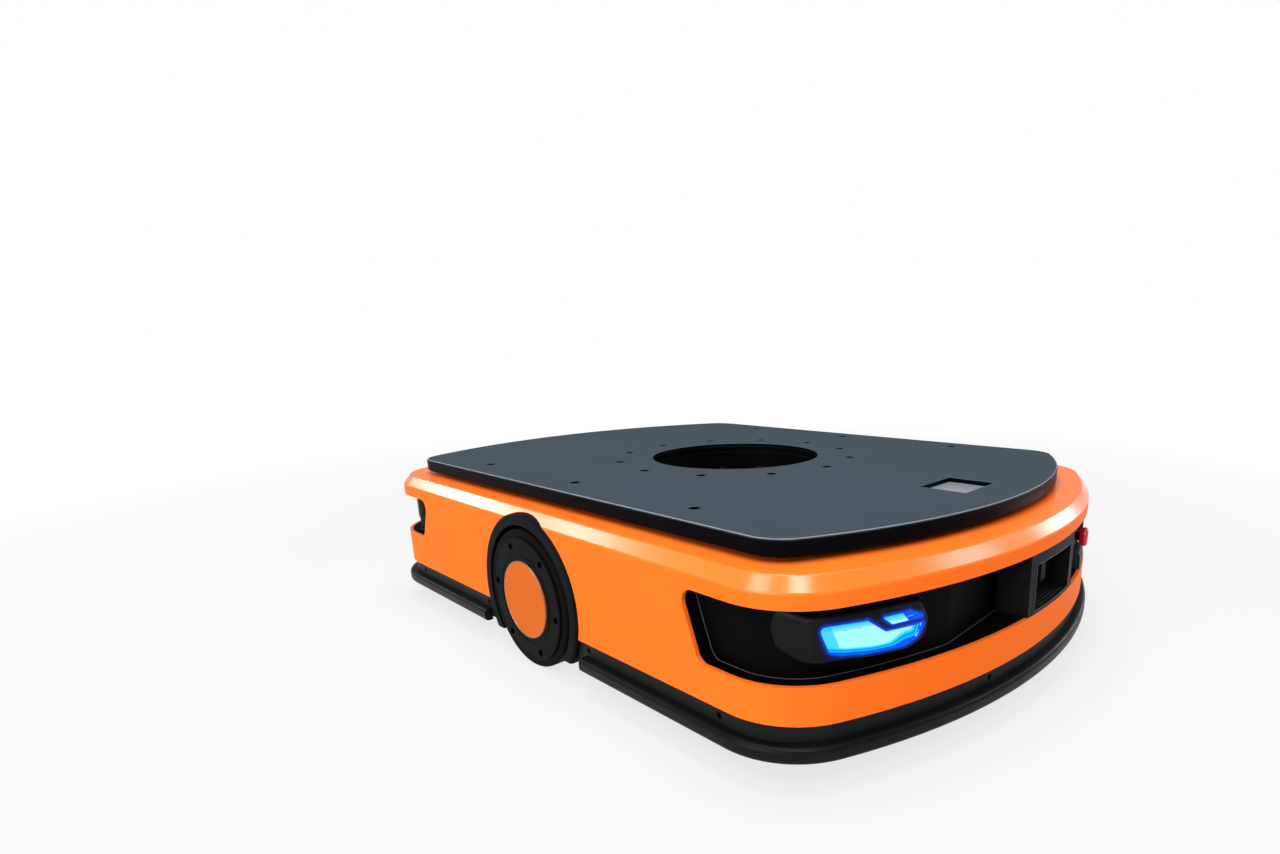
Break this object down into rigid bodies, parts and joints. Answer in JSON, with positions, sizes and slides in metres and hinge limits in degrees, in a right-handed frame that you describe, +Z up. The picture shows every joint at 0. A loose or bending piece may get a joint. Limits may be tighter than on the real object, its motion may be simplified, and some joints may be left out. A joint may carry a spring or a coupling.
{
  "type": "autonomous mobile robot",
  "caption": "Low, flat autonomous mobile robot with a lifting load plate, rounded shell, slot-mounted lights and scanner, side drive wheels and swivel casters.",
  "frame": {"origin": "on the floor under the middle of the robot", "axes": "+X forwards, to the end with the scanner and the control panel; +Y left; +Z up"},
  "size_m": [0.938, 0.682, 0.202],
  "materials": {
    "orange_paint": "satin orange paint",
    "plate_black": "fine matte dark grey coat",
    "trim_black": "moulded black plastic",
    "gloss_black": "glossy smoked plastic",
    "skirt_black": "satin black coat",
    "bumper_rubber": "soft black rubber",
    "wheel_tyre": "polyurethane tread",
    "disc_black": "satin black coat",
    "cap_orange": "matte orange paint",
    "lens_blue": "clear lens lit blue from behind",
    "pane_glass": "grey window glass",
    "steel": "ground steel",
    "aluminium": "cast aluminium",
    "contact_brass": "plain brass",
    "stop_red": "glossy red plastic",
    "badge_yellow": "yellow plastic plate",
    "button_metal": "polished metal",
    "case_grey": "powder coat",
    "caster_rubber": "grey-black tread"
  },
  "bodies": {
    "chassis": {"body_shell": "orange_paint", "front_slot_liner": "trim_black", "rear_slot_liner": "trim_black", "headlight_housings": "gloss_black", "headlight_lenses": "lens_blue", "chassis_pan": "skirt_black", "lower_skirt": "skirt_black", "front_bumper": "bumper_rubber", "rear_bumper": "bumper_rubber", "lift_barrels": "aluminium", "drive_brackets": "skirt_black", "caster_plates": "steel", "lidar_base": "trim_black", "lidar_cover": "gloss_black", "control_panel": "trim_black", "stop_badge": "badge_yellow", "button_bezel": "gloss_black", "front_stop_collar": "trim_black", "rear_stop_collar": "trim_black", "rear_stop_console": "trim_black", "rear_bay_frame": "trim_black", "charge_contacts": "contact_brass", "battery_pack": "case_grey", "controller_box": "aluminium", "upward_camera": "trim_black", "left_gearbox": "aluminium", "left_drive_motor": "case_grey", "left_wheel_arch": "trim_black", "right_gearbox": "aluminium", "right_drive_motor": "case_grey", "right_wheel_arch": "trim_black"},
    "load_plate": {"top_plate": "plate_black", "window_pane": "pane_glass", "hole_liner": "trim_black", "lift_frame": "skirt_black", "lift_rods": "steel"},
    "left_wheel": {"left_tyre": "wheel_tyre", "left_wheel_disc": "disc_black", "left_hub_cap": "cap_orange", "left_axle": "steel"},
    "right_wheel": {"right_tyre": "wheel_tyre", "right_wheel_disc": "disc_black", "right_hub_cap": "cap_orange", "right_axle": "steel"},
    "lidar_spin_head": {"lidar_rotor": "aluminium"},
    "power_key": {"power_button": "button_metal"},
    "reset_key": {"reset_button": "button_metal"},
    "brake_release_key": {"brake_release_button": "button_metal"},
    "front_stop_plunger": {"front_stop_stem": "trim_black"},
    "front_stop_knob": {"front_stop_head": "stop_red"},
    "rear_stop_plunger": {"rear_stop_stem": "trim_black"},
    "rear_stop_knob": {"rear_stop_head": "stop_red"},
    "front_left_swivel": {"front_left_caster_fork": "steel"},
    "front_left_roller": {"front_left_caster_wheel": "caster_rubber"},
    "front_right_swivel": {"front_right_caster_fork": "steel"},
    "front_right_roller": {"front_right_caster_wheel": "caster_rubber"},
    "rear_left_swivel": {"rear_left_caster_fork": "steel"},
    "rear_left_roller": {"rear_left_caster_wheel": "caster_rubber"},
    "rear_right_swivel": {"rear_right_caster_fork": "steel"},
    "rear_right_roller": {"rear_right_caster_wheel": "caster_rubber"}
  },
  "joints": [
    {"name": "plate_lift", "type": "slide", "parent": "chassis", "child": "load_plate", "axis": [0, 0, 1], "range_m": [0, 0.06]},
    {"name": "left_wheel_drive", "type": "hinge", "parent": "chassis", "child": "left_wheel", "pos_m": [0, 0.31, 0.08], "axis": [0, 1, 0], "continuous": true},
    {"name": "right_wheel_drive", "type": "hinge", "parent": "chassis", "child": "right_wheel", "pos_m": [0, -0.31, 0.08], "axis": [0, 1, 0], "continuous": true},
    {"name": "front_left_caster_swivel", "type": "hinge", "parent": "chassis", "child": "front_left_swivel", "pos_m": [0.3, 0.2, 0.06], "axis": [0, 0, 1], "continuous": true},
    {"name": "front_left_caster_roll", "type": "hinge", "parent": "front_left_swivel", "child": "front_left_roller", "pos_m": [0.282, 0.2, 0.03], "axis": [0, 1, 0], "continuous": true},
    {"name": "front_right_caster_swivel", "type": "hinge", "parent": "chassis", "child": "front_right_swivel", "pos_m": [0.3, -0.2, 0.06], "axis": [0, 0, 1], "continuous": true},
    {"name": "front_right_caster_roll", "type": "hinge", "parent": "front_right_swivel", "child": "front_right_roller", "pos_m": [0.282, -0.2, 0.03], "axis": [0, 1, 0], "continuous": true},
    {"name": "rear_left_caster_swivel", "type": "hinge", "parent": "chassis", "child": "rear_left_swivel", "pos_m": [-0.3, 0.2, 0.06], "axis": [0, 0, 1], "continuous": true},
    {"name": "rear_left_caster_roll", "type": "hinge", "parent": "rear_left_swivel", "child": "rear_left_roller", "pos_m": [-0.318, 0.2, 0.03], "axis": [0, 1, 0], "continuous": true},
    {"name": "rear_right_caster_swivel", "type": "hinge", "parent": "chassis", "child": "rear_right_swivel", "pos_m": [-0.3, -0.2, 0.06], "axis": [0, 0, 1], "continuous": true},
    {"name": "rear_right_caster_roll", "type": "hinge", "parent": "rear_right_swivel", "child": "rear_right_roller", "pos_m": [-0.318, -0.2, 0.03], "axis": [0, 1, 0], "continuous": true},
    {"name": "lidar_scan", "type": "hinge", "parent": "chassis", "child": "lidar_spin_head", "pos_m": [0.43, -0.05, 0.111], "axis": [0, 0, 1], "continuous": true},
    {"name": "power_press", "type": "slide", "parent": "chassis", "child": "power_key", "axis": [-0.9558, 0.2939, 0], "range_m": [0, 0.0015], "stiffness_N_per_m": 400},
    {"name": "reset_press", "type": "slide", "parent": "chassis", "child": "reset_key", "axis": [-0.9644, 0.2644, 0], "range_m": [0, 0.0015], "stiffness_N_per_m": 400},
    {"name": "brake_release_press", "type": "slide", "parent": "chassis", "child": "brake_release_key", "axis": [-0.972, 0.2348, 0], "range_m": [0, 0.0015], "stiffness_N_per_m": 400},
    {"name": "front_stop_press", "type": "slide", "parent": "chassis", "child": "front_stop_plunger", "axis": [-0.9685, -0.2488, 0], "range_m": [0, 0.004], "stiffness_N_per_m": 600},
    {"name": "front_stop_twist", "type": "hinge", "parent": "front_stop_plunger", "child": "front_stop_knob", "pos_m": [0.44177, 0.16, 0.0715], "axis": [0.9685, 0.2488, 0], "range_deg": [0, 45], "stiffness_Nm_per_rad": 0.02},
    {"name": "rear_stop_press", "type": "slide", "parent": "chassis", "child": "rear_stop_plunger", "axis": [0.9739, 0.2271, 0], "range_m": [0, 0.004], "stiffness_N_per_m": 600},
    {"name": "rear_stop_twist", "type": "hinge", "parent": "rear_stop_plunger", "child": "rear_stop_knob", "pos_m": [-0.44521, -0.146, 0.126], "axis": [-0.9739, -0.2271, 0], "range_deg": [0, 45], "stiffness_Nm_per_rad": 0.02}
  ]
}
